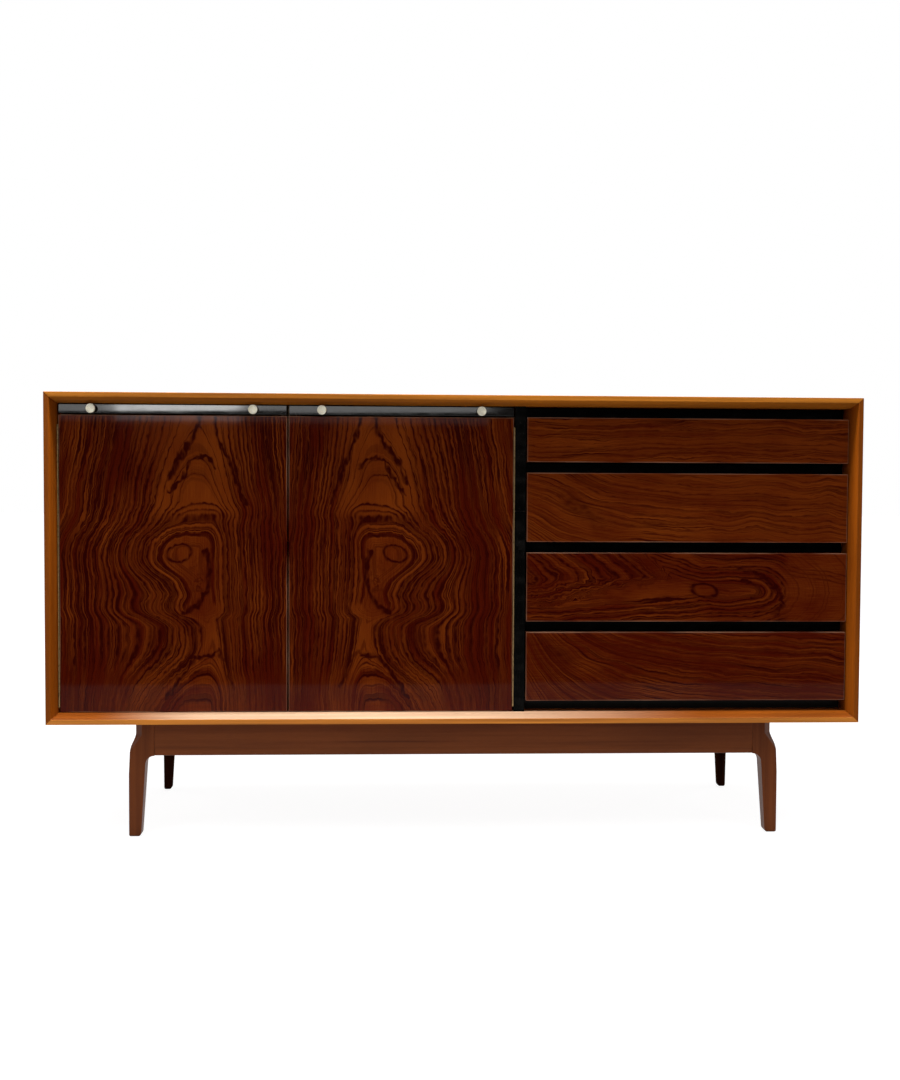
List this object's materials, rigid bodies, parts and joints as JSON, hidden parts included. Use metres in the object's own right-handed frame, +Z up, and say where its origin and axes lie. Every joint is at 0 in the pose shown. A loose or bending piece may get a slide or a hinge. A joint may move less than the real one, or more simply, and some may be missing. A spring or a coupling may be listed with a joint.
{
  "type": "sideboard",
  "caption": "Low wooden sideboard on a leg frame, with a two-door cupboard under pull-out serving slides and a bank of drawers beside it.",
  "frame": {"origin": "on the floor, under the middle of the whole sideboard", "axes": "+X to the right seen from the front, along the length; +Y from the front to the back; +Z up"},
  "size_m": [1.5, 0.47, 0.82],
  "materials": {
    "teak": "satin polyester over straight-grained veneer",
    "rosewood": "gloss over figured veneer",
    "walnut": "satin",
    "black_lacquer": "gloss black laminate and lacquer",
    "beech": "plain, sanded",
    "plywood": "plain, sealed",
    "brass": "lightly tarnished",
    "steel": "zinc plated",
    "catch_plastic": "matte brown"
  },
  "bodies": {
    "case": {"case_top": "teak", "case_bottom": "teak", "case_side_left": "teak", "case_side_right": "teak", "divider": "teak", "back_panel": "plywood", "stile_upper": "black_lacquer", "stile_lower": "black_lacquer", "shelf": "teak", "shelf_pins": "brass", "drawer_rail_1": "black_lacquer", "drawer_rail_2": "black_lacquer", "drawer_rail_3": "black_lacquer", "drawer_rail_4": "black_lacquer", "drawer_rail_5": "black_lacquer", "drawer_runners": "beech", "slide_runner_left": "beech", "slide_runner_centre": "beech", "slide_runner_right": "beech", "hinge_left_case_leaf": "brass", "hinge_left_pin": "steel", "hinge_right_case_leaf": "brass", "hinge_right_pin": "steel", "door_catches": "catch_plastic", "apron_front": "walnut", "apron_back": "walnut", "end_rail_left": "walnut", "end_rail_right": "walnut", "leg_front_left": "walnut", "leg_front_right": "walnut", "leg_back_left": "walnut", "leg_back_right": "walnut", "fixing_blocks": "beech", "base_screws": "steel"},
    "slide_left": {"slide_left": "black_lacquer", "slide_knobs_left": "brass"},
    "slide_right": {"slide_right": "black_lacquer", "slide_knobs_right": "brass"},
    "door_left": {"door_left": "rosewood", "hinge_left_door_leaf": "brass", "strike_left": "steel"},
    "door_right": {"door_right": "rosewood", "hinge_right_door_leaf": "brass", "strike_right": "steel"},
    "drawer_1": {"drawer_1_front": "rosewood", "drawer_1_sides": "beech", "drawer_1_back": "beech", "drawer_1_bottom": "plywood"},
    "drawer_2": {"drawer_2_front": "rosewood", "drawer_2_sides": "beech", "drawer_2_back": "beech", "drawer_2_bottom": "plywood"},
    "drawer_3": {"drawer_3_front": "rosewood", "drawer_3_sides": "beech", "drawer_3_back": "beech", "drawer_3_bottom": "plywood"},
    "drawer_4": {"drawer_4_front": "rosewood", "drawer_4_sides": "beech", "drawer_4_back": "beech", "drawer_4_bottom": "plywood"}
  },
  "joints": [
    {"name": "slide_left_pull", "type": "slide", "parent": "case", "child": "slide_left", "axis": [0, -1, 0], "range_m": [0, 0.3]},
    {"name": "slide_right_pull", "type": "slide", "parent": "case", "child": "slide_right", "axis": [0, -1, 0], "range_m": [0, 0.3]},
    {"name": "door_left_swing", "type": "hinge", "parent": "case", "child": "door_left", "pos_m": [-0.72955, -0.2166, 0.5], "axis": [0, 0, -1], "range_deg": [0, 90]},
    {"name": "door_right_swing", "type": "hinge", "parent": "case", "child": "door_right", "pos_m": [0.10305, -0.2166, 0.5], "axis": [0, 0, 1], "range_deg": [0, 90]},
    {"name": "drawer_1_pull", "type": "slide", "parent": "case", "child": "drawer_1", "axis": [0, -1, 0], "range_m": [0, 0.3]},
    {"name": "drawer_2_pull", "type": "slide", "parent": "case", "child": "drawer_2", "axis": [0, -1, 0], "range_m": [0, 0.3]},
    {"name": "drawer_3_pull", "type": "slide", "parent": "case", "child": "drawer_3", "axis": [0, -1, 0], "range_m": [0, 0.3]},
    {"name": "drawer_4_pull", "type": "slide", "parent": "case", "child": "drawer_4", "axis": [0, -1, 0], "range_m": [0, 0.3]}
  ]
}
